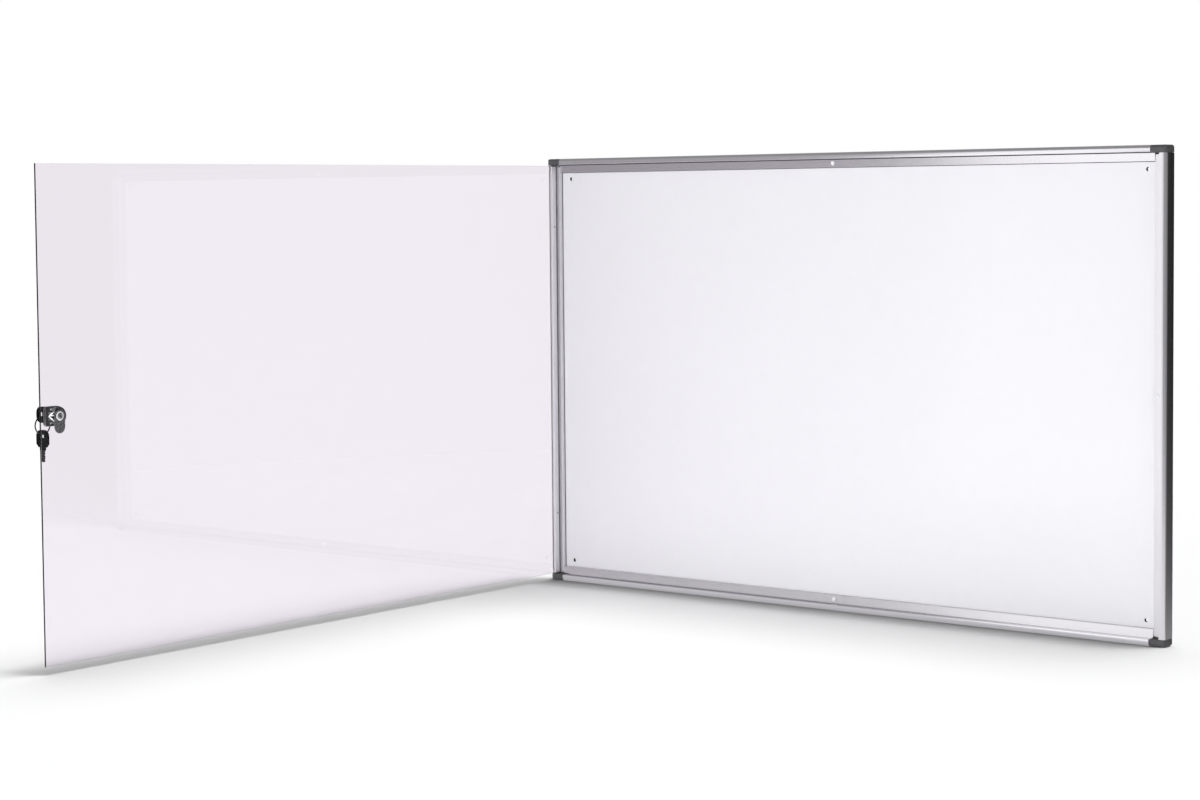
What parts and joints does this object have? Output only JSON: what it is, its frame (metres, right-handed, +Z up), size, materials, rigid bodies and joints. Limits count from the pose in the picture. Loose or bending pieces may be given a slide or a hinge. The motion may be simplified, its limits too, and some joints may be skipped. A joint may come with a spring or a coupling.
{
  "type": "lockable wall notice board",
  "caption": "Wall notice board with an aluminium frame, a white steel panel and a clear door that swings on a turning hinge profile and shuts with a cam lock",
  "frame": {"origin": "the middle of the rear face, on the wall plane", "axes": "+X to the right as seen from the front, +Y into the wall, +Z up"},
  "size_m": [1.1359, 1.1047, 0.7],
  "materials": {
    "aluminium": "satin anodised extrusion",
    "grey_plastic": "matt dark grey moulding",
    "black_plastic": "black moulding, slightly glossy",
    "white_enamel": "glossy white enamel on steel sheet",
    "fibre_board": "dark pressed fibre board",
    "zinc_sheet": "zinc coated steel sheet",
    "clear_pane": "clear acrylic, polished edges",
    "clear_rubber": "clear soft dome",
    "soft_rubber": "matt black rubber",
    "chrome": "satin chrome plated zinc casting",
    "steel": "bright steel"
  },
  "bodies": {
    "board": {"display_panel": "white_enamel", "core_board": "fibre_board", "rear_sheet": "zinc_sheet", "top_rail": "aluminium", "bottom_rail": "aluminium", "lock_stile": "aluminium", "hinge_stile": "aluminium", "cap_bottom_left": "grey_plastic", "cap_top_left": "grey_plastic", "cap_bottom_right": "grey_plastic", "cap_top_right": "grey_plastic", "hinge_bush_bottom": "black_plastic", "hinge_bush_top": "black_plastic", "bumper_top": "clear_rubber", "bumper_bottom": "clear_rubber", "bumper_lock_side": "clear_rubber"},
    "door": {"hinge_profile": "aluminium", "hinge_plug_bottom": "black_plastic", "hinge_plug_top": "black_plastic", "door_pane": "clear_pane", "pane_gasket": "soft_rubber", "jaw_screw_1": "steel", "jaw_screw_2": "steel", "lock_body": "chrome", "lock_block": "chrome", "clamp_screw_1": "steel", "clamp_screw_2": "steel", "lock_pad_outer": "soft_rubber", "lock_pad_inner": "soft_rubber"},
    "lock": {"lock_cylinder": "steel", "lock_cam": "chrome", "cam_washer": "steel", "cam_screw": "steel", "key_bow": "black_plastic", "key_blade": "steel"},
    "ring": {"key_ring": "steel"},
    "spare_key": {"spare_key_bow": "black_plastic", "spare_key_blade": "steel"}
  },
  "joints": [
    {"name": "door_swing", "type": "hinge", "parent": "board", "child": "door", "pos_m": [-0.545, -0.018, 0], "axis": [0, 0, 1], "range_deg": [-80, 90]},
    {"name": "lock_turn", "type": "hinge", "parent": "door", "child": "lock", "pos_m": [-0.547, -1.0807, 0], "axis": [-1, 0, 0], "range_deg": [0, 90]},
    {"name": "ring_swing", "type": "hinge", "parent": "lock", "child": "ring", "pos_m": [-0.57235, -1.0807, -0.00245], "axis": [0, 1, 0], "range_deg": [-8, 60]},
    {"name": "spare_key_swing", "type": "hinge", "parent": "ring", "child": "spare_key", "pos_m": [-0.57235, -1.0807, -0.02665], "axis": [0, 1, 0], "range_deg": [-8, 60]}
  ]
}
